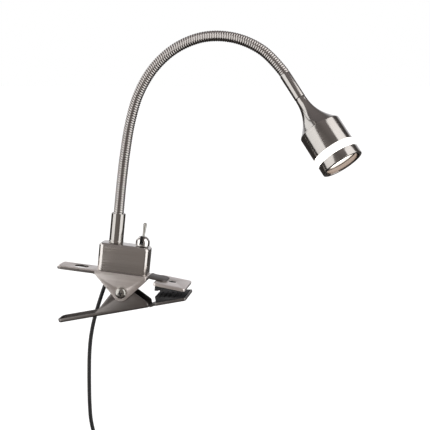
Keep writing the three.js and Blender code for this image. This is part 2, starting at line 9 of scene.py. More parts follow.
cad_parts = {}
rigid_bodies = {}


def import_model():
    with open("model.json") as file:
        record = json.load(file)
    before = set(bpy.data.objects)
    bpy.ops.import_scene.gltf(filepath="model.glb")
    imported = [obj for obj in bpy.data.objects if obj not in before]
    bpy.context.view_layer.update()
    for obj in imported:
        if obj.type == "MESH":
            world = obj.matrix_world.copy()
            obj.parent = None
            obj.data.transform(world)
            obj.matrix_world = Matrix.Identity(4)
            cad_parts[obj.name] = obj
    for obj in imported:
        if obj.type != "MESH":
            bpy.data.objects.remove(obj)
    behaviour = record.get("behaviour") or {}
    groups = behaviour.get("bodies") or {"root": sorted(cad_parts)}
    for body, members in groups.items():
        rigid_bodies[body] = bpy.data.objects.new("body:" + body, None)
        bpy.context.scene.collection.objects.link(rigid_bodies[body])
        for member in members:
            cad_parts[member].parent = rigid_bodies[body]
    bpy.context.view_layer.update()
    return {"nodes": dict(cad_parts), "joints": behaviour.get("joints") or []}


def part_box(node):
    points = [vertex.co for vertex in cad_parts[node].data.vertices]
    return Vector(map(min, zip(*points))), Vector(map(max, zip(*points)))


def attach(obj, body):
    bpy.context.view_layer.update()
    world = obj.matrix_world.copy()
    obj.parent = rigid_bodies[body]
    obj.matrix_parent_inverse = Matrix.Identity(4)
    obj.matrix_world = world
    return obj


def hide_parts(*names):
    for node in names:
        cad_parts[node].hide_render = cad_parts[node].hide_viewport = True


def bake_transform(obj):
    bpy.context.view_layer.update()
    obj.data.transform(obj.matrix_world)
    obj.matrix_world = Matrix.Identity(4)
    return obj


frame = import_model()
MM = 0.001
JOINTS = {j["name"]: j for j in frame["joints"]}


# ---------------------------------------------------------------- places, all from the frame
def joint_pos(name):
    return Vector(JOINTS[name]["pos_m"])


def joint_axis(name):
    return Vector(JOINTS[name]["axis"]).normalized()


def centre(node):
    low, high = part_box(node)
    return (low + high) / 2


def axes_at(origin, x, z):
    """A frame with that origin and X axis, and its Z axis as near z as it can be."""
    x = x.normalized()
    z = (z - z.dot(x) * x).normalized()
    matrix = Matrix((x, z.cross(x), z)).transposed().to_4x4()
    matrix.translation = origin
    return matrix


LEVER_ANGLE = math.radians(-17.6)
CLIP = axes_at(joint_pos("clip_pivot"), joint_axis("toggle_throw"), Vector((0, 0, 1)))
LEVER = CLIP @ Matrix.Rotation(LEVER_ANGLE, 4, "Y") @ Matrix.Diagonal((1, 1, -1, 1))
HEAD_AXIS = (centre("lens") - joint_pos("head_sway")).normalized()
HEAD = axes_at(joint_pos("head_sway"), joint_axis("head_sway"), HEAD_AXIS)
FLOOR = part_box("cord_coil")[0].z


def shifted(matrix, x=0.0, y=0.0, z=0.0):
    """A frame moved along its own axes, in millimetres."""
    return matrix @ Matrix.Translation(Vector((x, y, z)) * MM)


# ---------------------------------------------------------------- driving dimensions, mm
SHEET = 1.2
TONGUE_STEP = 0.6
JAW_GAP = 0.55
UPPER = {"top": 19.3, "width": 24.4, "end": -67.5, "back": -28.5, "front": 25.5, "flange": 3.4, "ear": 8.3,
         "hole": (-44.8, 7), "drop": 2.35}
LOWER = {"top": 19.7, "width": 20, "end": -71, "back": -30.5, "front": 25.5, "flange": 3.8, "ear": 7.6,
         "hole": (-50, 6.5), "drop": 0}
JAW = {"start": 33, "tip": 65, "width": 42, "flange": 3.1, "hole": (48.5, 4)}
BOX = {"x": -1.9, "length": 51, "depth": 21, "height": 27.8, "corner": 5.5, "fillet": 3}
BOX_FOOT = UPPER["top"] + 0.3
BOX_TOP = BOX_FOOT + BOX["height"]
FERRULE_X = -12
FERRULE_HEIGHT = 30.2
BOX_WALL = 1.2
TOGGLE_X = 15
NECK_R = 5
NECK_STUB = 4
RIB_PITCH = 2.3
RIB_ROUND = 1.45
BEND_REACH = 7
BEND_SPARE = 0.8
HEAD_R = 20.5
HEAD_NECK_R = 5.3
HEAD_FERRULE = 28
SEAM = NECK_STUB + 0.3 + HEAD_FERRULE
FLARE = 35
SHELL_WALL = 1.5
SHELL_END = 59.3
RING_END = 66.3
BEZEL_END = 75.5
BEZEL_BORE = 17.3
CORD_R = 2


# ---------------------------------------------------------------- camera
VIEW_AZIMUTH, VIEW_ELEVATION = math.radians(8.1), math.radians(7.9)
VIEW_DISTANCE = 0.9956
VIEW_AIM = (92.8, 0, 78.3)


def make_camera():
    """A long lens before the lamp, a little to its right and above, aimed between the clip and the head."""
    target = joint_pos("clip_pivot") + Vector(VIEW_AIM) * MM
    back = Vector((math.sin(VIEW_AZIMUTH) * math.cos(VIEW_ELEVATION),
                   -math.cos(VIEW_AZIMUTH) * math.cos(VIEW_ELEVATION), math.sin(VIEW_ELEVATION)))
    data = bpy.data.cameras.new("camera")
    data.lens, data.sensor_width = 85, 36
    data.clip_start, data.clip_end = 0.05, 50
    camera = bpy.data.objects.new("camera", data)
    bpy.context.scene.collection.objects.link(camera)
    camera.location = target + back * VIEW_DISTANCE
    camera.rotation_mode = "QUATERNION"
    camera.rotation_quaternion = (-back).to_track_quat("-Z", "Y")
    bpy.context.scene.camera = camera


make_camera()


# ---------------------------------------------------------------- materials
class Nodes:
    """A material's node tree, with short ways to add to it."""

    def __init__(self, name, color, roughness, metallic=0.0):
        self.material = bpy.data.materials.new(name)
        self.material.use_nodes = True
        self.tree = self.material.node_tree
        self.shader = self.tree.nodes["Principled BSDF"]
        self.shader.inputs["Base Color"].default_value = (*color, 1)
        self.shader.inputs["Roughness"].default_value = roughness
        self.shader.inputs["Metallic"].default_value = metallic

    def add(self, kind, **inputs):
        node = self.tree.nodes.new("ShaderNode" + kind)
        for key, value in inputs.items():
            name = key.replace("_", " ")
            if name in node.inputs:
                node.inputs[name].default_value = value
            else:
                setattr(node, key, value)
        return node

    def link(self, source, target):
        self.tree.links.new(source, target)

    def noise(self, scale, detail=3, stretch=(1, 1, 1), roughness=0.55):
        """Noise in the piece's own space, in units of 1 mm, stretched along its axes."""
        where = self.add("TexCoord").outputs["Object"]
        mapping = self.add("Mapping")
        mapping.inputs["Scale"].default_value = [1000 * scale * s for s in stretch]
        self.link(where, mapping.inputs["Vector"])
        noise = self.add("TexNoise", Scale=1.0, Detail=detail, Roughness=roughness)
        self.link(mapping.outputs["Vector"], noise.inputs["Vector"])
        return noise.outputs["Fac"]

    def ranged(self, source, low, high, from_low=0.3, from_high=0.7):
        node = self.add("MapRange")
        node.inputs["From Min"].default_value = from_low
        node.inputs["From Max"].default_value = from_high
        node.inputs["To Min"].default_value = low
        node.inputs["To Max"].default_value = high
        self.link(source, node.inputs["Value"])
        return node.outputs["Result"]

    def mixed(self, factor, a, b):
        """Colour a where factor is 0 and b where it is 1."""
        node = self.add("Mix")
        node.data_type = "RGBA"
        self.link(factor, node.inputs[0])
        for socket, value in ((node.inputs[6], a), (node.inputs[7], b)):
            if isinstance(value, tuple):
                socket.default_value = (*value, 1)
            else:
                self.link(value, socket)
        return node.outputs[2]

    def added(self, a, b):
        node = self.add("Math")
        node.operation = "ADD"
        self.link(a, node.inputs[0])
        self.link(b, node.inputs[1])
        return node.outputs[0]

    def bump(self, height, distance, strength=1.0):
        node = self.add("Bump", Strength=strength, Distance=distance)
        self.link(height, node.inputs["Height"])
        self.link(node.outputs["Normal"], self.shader.inputs["Normal"])

    def set(self, name, source):
        self.link(source, self.shader.inputs[name])


def brushed(name, color, roughness, grain, contrast=0.12, anisotropy=0.45, turned=True):
    """Satin plated metal. grain is frequencies per mm in x, y and z: high across the brush lines."""
    n = Nodes(name, color, roughness, 1.0)
    lines = n.noise(1.0, 4, grain, 0.65)
    smears = n.noise(0.045, 3)
    dark = tuple(c * (1 - contrast) for c in color)
    light = tuple(min(1, c * (1 + contrast)) for c in color)
    warm = (color[0] * 1.04, color[1] * 0.97, color[2] * 0.93)
    tone = n.mixed(n.ranged(lines, 0, 1), dark, light)
    n.set("Base Color", n.mixed(n.ranged(smears, 0, 0.35), tone, warm))
    worn = n.ranged(smears, -0.03, 0.05)
    n.set("Roughness", n.added(n.ranged(lines, roughness - 0.05, roughness + 0.05), worn))
    n.shader.inputs["Anisotropic"].default_value = anisotropy
    tangent = n.add("Tangent", direction_type="RADIAL", axis="Z" if turned else "X")
    if turned:
        n.shader.inputs["Anisotropic Rotation"].default_value = 0.25
    n.link(tangent.outputs[0], n.shader.inputs["Tangent"])
    return n.material


def polished(name, color, roughness):
    """Bright plate: nearly clean, with a faint haze and fine scratches."""
    n = Nodes(name, color, roughness, 1.0)
    haze = n.noise(0.3, 4)
    scratches = n.noise(1.5, 2, (6, 0.4, 6))
    n.set("Roughness", n.added(n.ranged(haze, roughness - 0.02, roughness + 0.06),
                               n.ranged(scratches, 0, 0.03)))
    n.set("Base Color", n.mixed(n.ranged(haze, 0, 1), tuple(c * 0.9 for c in color), color))
    n.bump(scratches, 0.000008, 0.3)
    return n.material


def moulded(name, color, roughness, scale, depth, dust=0.15):
    """Rubber or plastic: a fine moulded grain with a little dust on it."""
    n = Nodes(name, color, roughness)
    grain = n.noise(scale, 4)
    patches = n.noise(0.06, 4)
    pale = tuple(c + (0.22 - c) * dust for c in color)
    n.set("Base Color", n.mixed(n.ranged(patches, 0, 1, 0.45, 0.8), color, pale))
    n.set("Roughness", n.added(n.ranged(grain, roughness - 0.08, roughness + 0.06),
                               n.ranged(patches, 0, 0.06)))
    n.bump(grain, depth, 0.6)
    return n.material


def glowing(name, color, light, strength, scale, rim=None):
    """A lit frosted piece. rim is a painted reflection: the colour its light turns to outwards, with the
    start and end in mm.
    """
    n = Nodes(name, color, 0.4)
    frost = n.noise(scale, 4)
    n.set("Base Color", n.mixed(n.ranged(frost, 0, 1), tuple(c * 0.94 for c in color), color))
    glow = n.mixed(n.ranged(frost, 0, 1), tuple(c * 0.93 for c in light), light)
    if rim:
        where = n.add("TexCoord").outputs["Object"]
        split = n.add("SeparateXYZ")
        n.link(where, split.inputs[0])
        flat = n.add("CombineXYZ")
        n.link(split.outputs[0], flat.inputs[0])
        n.link(split.outputs[1], flat.inputs[1])
        length = n.add("VectorMath", operation="LENGTH")
        n.link(flat.outputs[0], length.inputs[0])
        # The glow turns to the rim colour outwards: a painted reflection.
        glow = n.mixed(n.ranged(length.outputs["Value"], 0, 1, rim[1] * MM, rim[2] * MM), glow, rim[0])
    n.set("Emission Color", glow)
    n.shader.inputs["Emission Strength"].default_value = strength
    n.bump(frost, 0.00005, 0.4)
    return n.material


NICKEL = (0.40, 0.387, 0.37)
SHEET_GRAIN = (0.012, 2.4, 2.4)
TURNED_GRAIN = (0.03, 0.03, 2.6)
M = {
    "sheet": brushed("satin_nickel_sheet", (0.85, 0.815, 0.79), 0.4, SHEET_GRAIN, turned=False),
    # lever: the sheet's satin nickel darkened as painted shade, for the lever, its jaw plate and the handle's
    # flange
    "lever": brushed("nickel_painted_shade", (0.22, 0.208, 0.2), 0.36, SHEET_GRAIN, turned=False),
    # tongue: near-black nickel as a painted shadow of the switch box on the tongue, and painted shade inside
    # the channels
    "tongue": brushed("nickel_painted_shadow", (0.14, 0.13, 0.125), 0.45, SHEET_GRAIN, turned=False),
    "box": brushed("satin_nickel_box", (0.57, 0.55, 0.53), 0.21, (0.01, 2.8, 2.8), 0.12, turned=False),
    "turned": brushed("satin_nickel_turned", NICKEL, 0.14, TURNED_GRAIN, 0.07, 0.3),
    # inside: the turned nickel darkened and warmed as painted shade in the bezel's bore
    "inside": brushed("nickel_painted_bore_shade", (0.2, 0.165, 0.145), 0.14, TURNED_GRAIN, 0.2, 0.3),
    "neck": brushed("gooseneck_nickel", (0.46, 0.44, 0.425), 0.12, (0.4, 0.4, 0.4), 0.1, 0.0),
    "chrome": polished("bright_chrome", (0.78, 0.76, 0.74), 0.09),
    # screw: a darker copy of the bright chrome, for the pivot screw head and the toggle bat
    "screw": polished("dark_chrome", (0.44, 0.43, 0.40), 0.2),
    "zinc": polished("zinc_steel", (0.62, 0.62, 0.62), 0.28),
    "rubber": moulded("black_rubber", (0.014, 0.014, 0.015), 0.72, 2.5, 0.00004),
    "plastic": moulded("black_plastic", (0.02, 0.02, 0.021), 0.45, 4.0, 0.00002, 0.08),
    "cord": moulded("cord_sheath", (0.009, 0.009, 0.01), 0.48, 1.2, 0.00002, 0.1),
    "brass": polished("contact_brass", (0.72, 0.58, 0.3), 0.25),
    "sink": brushed("sink_aluminium", (0.62, 0.63, 0.64), 0.4, (0.1, 0.1, 2.0), 0.1),
    "board": moulded("board_white", (0.8, 0.8, 0.77), 0.5, 3.0, 0.00001, 0.05),
    "led": glowing("led_phosphor", (0.9, 0.75, 0.25), (1.0, 0.9, 0.6), 4.0, 2.0),
    "ring": glowing("frosted_ring", (0.97, 0.96, 0.94), (1.0, 0.985, 0.96), 2.6, 1.5),
    # lens: its warm brown rim from 12.5 mm to 17 mm is a painted reflection
    "lens": glowing("lit_lens", (0.95, 0.93, 0.88), (1.0, 0.975, 0.93), 1.5, 1.0,
                    ((0.86, 0.76, 0.66), 12.5, 17)),
    "reflector": glowing("lit_reflector", (0.9, 0.88, 0.84), (1.0, 0.94, 0.85), 1.2, 0.8),
}


# ---------------------------------------------------------------- mesh tools
def obj_from(name, verts, faces, matrix=None):
    """A linked object from vertices in millimetres and faces, its normals facing out."""
    mesh = bpy.data.meshes.new(name)
    mesh.from_pydata([[c * MM for c in v] for v in verts], [], faces)
    bm = bmesh.new()
    bm.from_mesh(mesh)
    bmesh.ops.remove_doubles(bm, verts=bm.verts, dist=1e-7)
    bmesh.ops.recalc_face_normals(bm, faces=bm.faces)
    bm.to_mesh(mesh)
    bm.free()
    obj = bpy.data.objects.new(name, mesh)
    bpy.context.scene.collection.objects.link(obj)
    if matrix is not None:
        obj.matrix_world = matrix
    return obj


def applied(obj):
    """Turns the object's modifiers into its mesh."""
    bpy.context.view_layer.update()
    graph = bpy.context.evaluated_depsgraph_get()
    mesh = bpy.data.meshes.new_from_object(obj.evaluated_get(graph))
    obj.modifiers.clear()
    obj.data = mesh
    return obj


def cut(obj, *tools, operation="DIFFERENCE"):
    """Takes the tools out of obj, or joins or intersects them; the tools are used up."""
    for tool in tools:
        modifier = obj.modifiers.new("cut", "BOOLEAN")
        modifier.operation, modifier.solver, modifier.object = operation, "EXACT", tool
        applied(obj)
        bpy.data.objects.remove(tool)
    return obj


def eased(obj, width, segments=2, angle=32):
    """Rounds the sharp edges by width millimetres and shades the piece smooth."""
    modifier = obj.modifiers.new("edges", "BEVEL")
    modifier.width, modifier.segments = width * MM, segments
    modifier.limit_method, modifier.angle_limit = "ANGLE", math.radians(angle)
    modifier.miter_outer = "MITER_ARC"
    modifier.harden_normals = False
    applied(obj)
    return smooth(obj, 38)


def smooth(obj, angle=38):
    obj.data.shade_smooth()
    obj.data.set_sharp_from_angle(angle=math.radians(angle))
    return obj


def fillet(points, radius, steps=4, closed=False):
    """A run of 2D points with each corner rounded; radius is one number or one for each point."""
    out = []
    count = len(points)
    for i, p in enumerate(points):
        r = radius[i] if isinstance(radius, (list, tuple)) else radius
        if r <= 0 or (not closed and i in (0, count - 1)):
            out.append(tuple(p))
            continue
        here = Vector(p)
        before, after = Vector(points[i - 1]) - here, Vector(points[(i + 1) % count]) - here
        half = before.angle(after, math.pi) / 2
        if half > math.radians(88):
            out.append(tuple(p))
            continue
        reach = min(r / math.tan(half), before.length * 0.49, after.length * 0.49)
        a, b = here + before.normalized() * reach, here + after.normalized() * reach
        for k in range(steps + 1):
            t = k / steps
            out.append(tuple(a * (1 - t) ** 2 + here * 2 * t * (1 - t) + b * t ** 2))
    return out


def lathe(name, profile, matrix, segments=96, closed=False):
    """A turned piece about Z. The profile of (radius, height) starts and ends on the axis, or is closed."""
    verts, rings = [], []
    for r, z in profile:
        if r < 1e-6:
            rings.append([len(verts)])
            verts.append((0, 0, z))
            continue
        rings.append(list(range(len(verts), len(verts) + segments)))
        for k in range(segments):
            angle = 2 * math.pi * k / segments
            verts.append((r * math.cos(angle), r * math.sin(angle), z))
    faces = []
    pairs = list(zip(rings, rings[1:]))
    if closed:
        pairs.append((rings[-1], rings[0]))
    for a, b in pairs:
        for k in range(segments):
            j = (k + 1) % segments
            if len(a) == 1 and len(b) > 1:
                faces.append((a[0], b[k], b[j]))
            elif len(b) == 1 and len(a) > 1:
                faces.append((a[k], b[0], a[j]))
            elif len(a) > 1:
                faces.append((a[k], b[k], b[j], a[j]))
    return smooth(obj_from(name, verts, faces, matrix), 50)


def prism(name, outline, low, high, matrix, plane="xy"):
    """An outline in mm carried from low to high: in XY along Z, or in XZ along Y."""
    count = len(outline)
    place = (lambda p, h: (p[0], p[1], h)) if plane == "xy" else (lambda p, h: (p[0], h, p[1]))
    verts = [place(p, low) for p in outline] + [place(p, high) for p in outline]
    faces = [tuple(range(count)), tuple(range(count, 2 * count))]
    faces += [(k, (k + 1) % count, count + (k + 1) % count, count + k) for k in range(count)]
    return obj_from(name, verts, faces, matrix)


def round_plan(x0, x1, half, r, steps=7):
    """A rectangle with round corners, from x0 to x1 and from -half to half."""
    points = []
    corners = [(x1 - r, half - r), (x0 + r, half - r), (x0 + r, r - half), (x1 - r, r - half)]
    for (cx, cy), start in zip(corners, (0, 90, 180, 270)):
        for k in range(steps + 1):
            angle = math.radians(start + 90 * k / steps)
            points.append((cx + r * math.cos(angle), cy + r * math.sin(angle)))
    return points


def pillow(name, x0, x1, half, corner, z0, z1, top, matrix, steps=6):
    """A block with round upright corners whose upper edge is rounded by top."""
    levels = [(z0, 0.0)]
    for k in range(steps + 1):
        angle = math.pi / 2 * k / steps
        levels.append((z1 - top + top * math.sin(angle), top * (1 - math.cos(angle))))
    verts, faces = [], []
    for z, inset in levels:
        ring = round_plan(x0 + inset, x1 - inset, half - inset, max(corner - inset, 0.05))
        verts += [(x, y, z) for x, y in ring]
    count = len(round_plan(0, 1, 1, 0.1))
    for level in range(len(levels) - 1):
        a, b = level * count, (level + 1) * count
        faces += [(a + k, a + (k + 1) % count, b + (k + 1) % count, b + k) for k in range(count)]
    faces += [tuple(range(count)), tuple(range(len(verts) - count, len(verts)))]
    return obj_from(name, verts, faces, matrix)


def rod(name, r, z0, z1, matrix, segments=48):
    return lathe(name, [(0, z0), (r, z0), (r, z1), (0, z1)], matrix, segments)


def spline(points, step):
    """Points every step metres along a smooth line through the given ones."""
    dense = []
    pad = [points[0] * 2 - points[1], *points, points[-1] * 2 - points[-2]]
    for a, b, c, d in zip(pad, pad[1:], pad[2:], pad[3:]):
        knots = [0.0]
        for p, q in ((a, b), (b, c), (c, d)):
            knots.append(knots[-1] + max((q - p).length, 1e-9) ** 0.5)
        t0, t1, t2, t3 = knots
        for k in range(40):
            t = t1 + (t2 - t1) * k / 40
            ab = a * ((t1 - t) / (t1 - t0)) + b * ((t - t0) / (t1 - t0))
            bc = b * ((t2 - t) / (t2 - t1)) + c * ((t - t1) / (t2 - t1))
            cd = c * ((t3 - t) / (t3 - t2)) + d * ((t - t2) / (t3 - t2))
            abc = ab * ((t2 - t) / (t2 - t0)) + bc * ((t - t0) / (t2 - t0))
            bcd = bc * ((t3 - t) / (t3 - t1)) + cd * ((t - t1) / (t3 - t1))
            dense.append(abc * ((t2 - t) / (t2 - t1)) + bcd * ((t - t1) / (t2 - t1)))
    dense.append(points[-1].copy())
    lengths = [0.0]
    for p, q in zip(dense, dense[1:]):
        lengths.append(lengths[-1] + (q - p).length)
    count = max(2, round(lengths[-1] / step))
    out, i = [], 0
    for k in range(count + 1):
        want = lengths[-1] * k / count
        while i < len(dense) - 2 and lengths[i + 1] < want:
            i += 1
        span = lengths[i + 1] - lengths[i]
        out.append(dense[i].lerp(dense[i + 1], (want - lengths[i]) / span if span else 0))
    return out


def tube(name, path, radius, sides=24, across=None):
    """A closed tube along a path. radius is a number or comes from (distance, angle), all in metres."""
    verts, faces, distance = [], [], 0.0
    side = across
    for i, p in enumerate(path):
        tangent = (path[min(i + 1, len(path) - 1)] - path[max(i - 1, 0)]).normalized()
        if side is None:
            side = tangent.orthogonal()
        side = (side - side.dot(tangent) * tangent).normalized()
        other = tangent.cross(side)
        if i:
            distance += (p - path[i - 1]).length
        for k in range(sides):
            angle = 2 * math.pi * k / sides
            r = radius(distance, angle) if callable(radius) else radius
            verts.append((p + (side * math.cos(angle) + other * math.sin(angle)) * r) / MM)
    for i in range(len(path) - 1):
        a, b = i * sides, (i + 1) * sides
        faces += [(a + k, a + (k + 1) % sides, b + (k + 1) % sides, b + k) for k in range(sides)]
    faces += [tuple(range(sides)), tuple(range(len(verts) - sides, len(verts)))]
    return smooth(obj_from(name, verts, faces), 60)


def placed(obj, body, slot, material, *nodes):
    """Gives the piece its body, its material and the frame's nodes it stands for; slot is not used."""
    obj.data.materials.clear()
    obj.data.materials.append(M[material])
    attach(obj, body)
    if nodes:
        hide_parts(*nodes)
    return obj


# ---------------------------------------------------------------- cord, coil and plug
CORD_ROUTE = [
    (-68.1, 11.1), (-71.3, 2.9), (-75.9, -8.9), (-81.3, -24.8), (-85.2, -37.6), (-87.8, -48.2),
    (-90.2, -62), (-91.6, -78), (-92.2, -96), (-92.4, -114), (-92.2, -132), (-91, -149),
    (-87.2, -164), (-79.6, -175.5), (-68.5, -181.6), (-57, -183), (-45, -183), (-34, -183),
]
CORD_Y = 17.5
CORD_TAIL = [(-45, 5.6), (-56, 3.6), (-66, 3.4)]
COIL_PITCH = 4.1
COIL_R = 33.2
COIL_TURNS = 4.25
COIL_RISE = 0.35
PLUG_ENTRY = 6
SLEEVE = 10


def coil_points(middle, floor):
    """The wound cord: a flat layer spiralling in, a step up, and a layer spiralling out on top of it."""
    per_turn = 20
    inner = COIL_R - COIL_PITCH * COIL_TURNS
    points = []
    for k in range(1, round(2 * COIL_TURNS * per_turn) + 1):
        turn = k / per_turn
        out = max(0, turn - COIL_TURNS - COIL_RISE)
        r = inner + COIL_PITCH * (COIL_TURNS - turn if turn < COIL_TURNS else out)
        lift = min(1, max(0, (turn - COIL_TURNS) / COIL_RISE))
        angle = math.pi / 2 - turn * 2 * math.pi
        points.append(middle + Vector((r * math.cos(angle), r * math.sin(angle), 0)) * MM)
        points[-1].z = floor + (CORD_R + COIL_PITCH * lift) * MM
    return points


def cord_pieces():
    """The lead: down from the strain relief, through the wound coil and along the floor to the plug."""
    coil = centre("cord_coil")
    plug_low, plug_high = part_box("plug_body")
    end = Vector((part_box("cord_tail")[0].x, (plug_low.y + plug_high.y) / 2, FLOOR + PLUG_ENTRY * MM))
    route = [Vector((x, CORD_Y, z)) * MM for x, z in CORD_ROUTE] + coil_points(coil, FLOOR)
    route += [Vector((x * MM, end.y, FLOOR + z * MM)) for x, z in CORD_TAIL] + [end]
    path = spline(route, 4 * MM)
    data = bpy.data.curves.new("cord_lead", "CURVE")
    data.dimensions = "3D"
    data.bevel_depth = CORD_R * MM
    data.bevel_resolution = 5
    line = data.splines.new("POLY")
    line.points.add(len(path) - 1)
    for point, p in zip(line.points, path):
        point.co = (*p, 1)
    line.use_smooth = True
    data.use_fill_caps = True
    lead = bpy.data.objects.new("cord_lead", data)
    bpy.context.scene.collection.objects.link(lead)
    placed(lead, "clip", "cord_sheath", "cord", "cord", "cord_coil", "cord_tail")

    plug = plug_piece(plug_low, plug_high)
    blades = [blade_piece(side) for side in ("left", "right")]
    tie = tie_piece(coil)


def plug_piece(low, high):
    """The plug-in adapter: a rounded case with a parting line and a ribbed sleeve where the cord enters."""
    size = (high - low) / MM - Vector((SLEEVE, 0, 0))
    base = Matrix.Translation(Vector((low.x, (low.y + high.y) / 2, low.z)))
    case = pillow("plug_case", 0, size.x, size.y / 2, 4, 0, size.z, 2.5, base)
    eased(case, 0.8, 3)
    parting = size.z * 0.52
    groove = pillow("groove", -1, size.x + 1, size.y / 2 + 1, 4, parting, parting + 0.35, 0.05, base)
    core = pillow("core", 0.3, size.x - 0.3, size.y / 2 - 0.3, 3.7, size.z * 0.5, size.z * 0.56, 0.05, base)
    cut(groove, core)
    cut(case, groove)
    smooth(case, 35)
    placed(case, "clip", "black_plastic", "plastic", "plug_body")
    turn = Matrix.Rotation(math.pi / 2, 4, "Y")
    profile = [(0, -0.4), (3.5, -0.4)]
    for k in range(5):
        z = 0.4 + k * 1.9
        r = 3.4 - 0.16 * k
        profile += [(r, z), (r, z + 1.1), (r - 0.55, z + 1.25), (r - 0.6, z + 1.75)]
    profile += [(2.6, 9.9), (0, 9.9)]
    origin = Matrix.Translation(Vector((high.x - SLEEVE * MM, (low.y + high.y) / 2, low.z + PLUG_ENTRY * MM)))
    sleeve = lathe("plug_sleeve", profile, origin @ turn, 32)
    placed(sleeve, "clip", "black_plastic", "plastic")
    sleeve.parent = case
    sleeve.matrix_parent_inverse = case.matrix_world.inverted()
    return case


def blade_piece(side):
    """A flat plug blade with a chamfered end and its hole."""
    low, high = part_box("plug_blade_" + side)
    long, tall = (high.x - low.x) / MM, (high.z - low.z) / MM
    outline = [(0, 0.2), (1.6, 0), (long, 0), (long, tall), (1.6, tall), (0, tall - 0.2)]
    outline = fillet(outline, 0.8, 3, True)
    matrix = Matrix.Translation(low)
    blade = prism("blade_" + side, outline, 0, (high.y - low.y) / MM, matrix, "xz")
    hole = rod("hole", 1.5, -4, 4, matrix @ Matrix.Translation(Vector((4.2, 0, tall / 2)) * MM)
               @ Matrix.Rotation(math.pi / 2, 4, "X"), 24)
    cut(blade, hole)
    eased(blade, 0.15)
    return placed(blade, "clip", "contact_brass", "brass", "plug_blade_" + side)


def tie_piece(coil):
    """A wire tie wrapped once round the coil's section."""
    half_layer = COIL_PITCH * COIL_TURNS / 2
    half, tall = half_layer + CORD_R + 0.35, COIL_PITCH + 2 * CORD_R
    outline = [(-half, 0.1), (half, 0.1), (half, tall), (-half, tall)]
    ring = fillet(outline, 1.8, 5, True)
    inner = fillet([(x * 0.965, z * 0.94 + 0.25) for x, z in outline], 1.6, 5, True)
    matrix = Matrix.Translation(Vector((coil.x + (COIL_R - half_layer + 0.2) * MM, coil.y, FLOOR)))
    tie = prism("coil_tie", ring, -2.2, 2.2, matrix, "xz")
    hollow = prism("hollow", inner, -3, 3, matrix, "xz")
    cut(tie, hollow)
    eased(tie, 0.15)
    return placed(tie, "clip", "black_plastic", "plastic", "cord_tie")


# ---------------------------------------------------------------- clip
def ear_tangent(x, z, r, side):
    """Where the line from (x, z) touches the circle of radius r round the pivot."""
    distance = math.hypot(x, z)
    angle = math.atan2(-z, -x) + side * math.asin(r / distance)
    reach = math.sqrt(distance ** 2 - r ** 2)
    return x + reach * math.cos(angle), z + reach * math.sin(angle)


def side_outline(spec):
    """The side view of a stamping: handle, flange, and the ear down round the pivot."""
    low, top, r, steps = spec["top"] - spec["flange"], spec["top"] + 1, spec["ear"], 24
    ear = []
    a, b = [math.atan2(z, x) % (2 * math.pi) for x, z in
            (ear_tangent(spec["back"], low, r, -1), ear_tangent(spec["front"], low, r, 1))]
    for k in range(steps + 1):
        angle = a + (b - a) * k / steps
        ear.append((r * math.cos(angle), r * math.sin(angle)))
    behind = fillet([(spec["end"] - 1, low), (spec["back"], low), ear[0]], 5, 6)
    before = fillet([ear[-1], (spec["front"] - 0.2, low), (spec["front"] + 1, low)], 1.5, 4)
    return behind[:-1] + ear + before[1:] + [(spec["front"] + 1, top), (spec["end"] - 1, top)]


def tongue_piece(name, spec, matrix):
    """The stepped strip that reaches over the jaw plate, with chamfered corners."""
    slope = spec["drop"] / (JAW["tip"] - JAW["start"])
    front, bend, end = spec["front"], spec["front"] + 4, 44
    high = spec["top"]
    step = high - TONGUE_STEP
    drop_end = step - slope * (end - bend)
    side = [(front - 0.4, high), (front + 1, high), (bend, step), (end, drop_end), (end, drop_end - SHEET),
            (bend, step - SHEET), (front - 0.4, high - SHEET)]
    half = min(22.5, spec["width"] - 0.4) / 2
    piece = prism(name, fillet(side, [0, 1.5, 3, 0, 0, 3, 0], 4, True), -half, half, matrix, "xz")
    chamfer = 3.5
    start = end - chamfer
    near = [(0, -half - 1), (start - 1, -half - 1), (start, -half), (end + 0.5, chamfer - half)]
    plan = near + [(x, -y) for x, y in reversed(near)]
    return cut(piece, prism("plan", plan, 5, 25, matrix), operation="INTERSECT")


def stamping(name, spec, matrix):
    """A pressed channel: a deep folded tray trimmed to its side view, with its tongue and holes."""
    half, bend, top = spec["width"] / 2, 1.7, spec["top"]
    end, front = spec["end"], spec["front"]
    outer = pillow(name, end, front, half, 4, -10, top, bend, matrix)
    inner = pillow("inner", end + SHEET, front + 12, half - SHEET, 2.9, -12, top - SHEET,
                   bend - SHEET + 0.2, matrix)
    cut(outer, inner)
    cut(outer, prism("side", side_outline(spec), -30, 30, matrix, "xz"), operation="INTERSECT")
    cut(outer, tongue_piece("tongue", spec, matrix), operation="UNION")
    hole_x, hole_r = spec["hole"]
    cut(outer, rod("hole", hole_r, top - 3, top + 2, shifted(matrix, hole_x), 48))
    across = matrix @ Matrix.Rotation(math.pi / 2, 4, "X")
    return cut(outer, rod("pin", 2.7, -20, 20, across, 32))


def jaw_matrix(spec, matrix):
    """Where the jaw plate's top starts under the tongue, and its slope."""
    slope = math.atan(spec["drop"] / (JAW["tip"] - JAW["start"]))
    top = spec["top"] - TONGUE_STEP - SHEET - JAW_GAP
    return shifted(matrix, JAW["start"], 0, top) @ Matrix.Rotation(slope, 4, "Y"), slope


def jaw_sheet(name, spec, matrix):
    place, slope = jaw_matrix(spec, matrix)
    long = (JAW["tip"] - JAW["start"]) / math.cos(slope)
    half = JAW["width"] / 2
    outer = pillow(name, 0, long, half, 2.5, -JAW["flange"], 0, 1.2, place)
    inner = pillow("inner", SHEET, long - SHEET, half - SHEET, 1.5, -JAW["flange"] - 2, -SHEET, 0.5, place)
    cut(outer, inner)
    cut(outer, rod("hole", JAW["hole"][1], -4, 3, shifted(place, JAW["hole"][0] - JAW["start"]), 40))
    return eased(outer, 0.22)


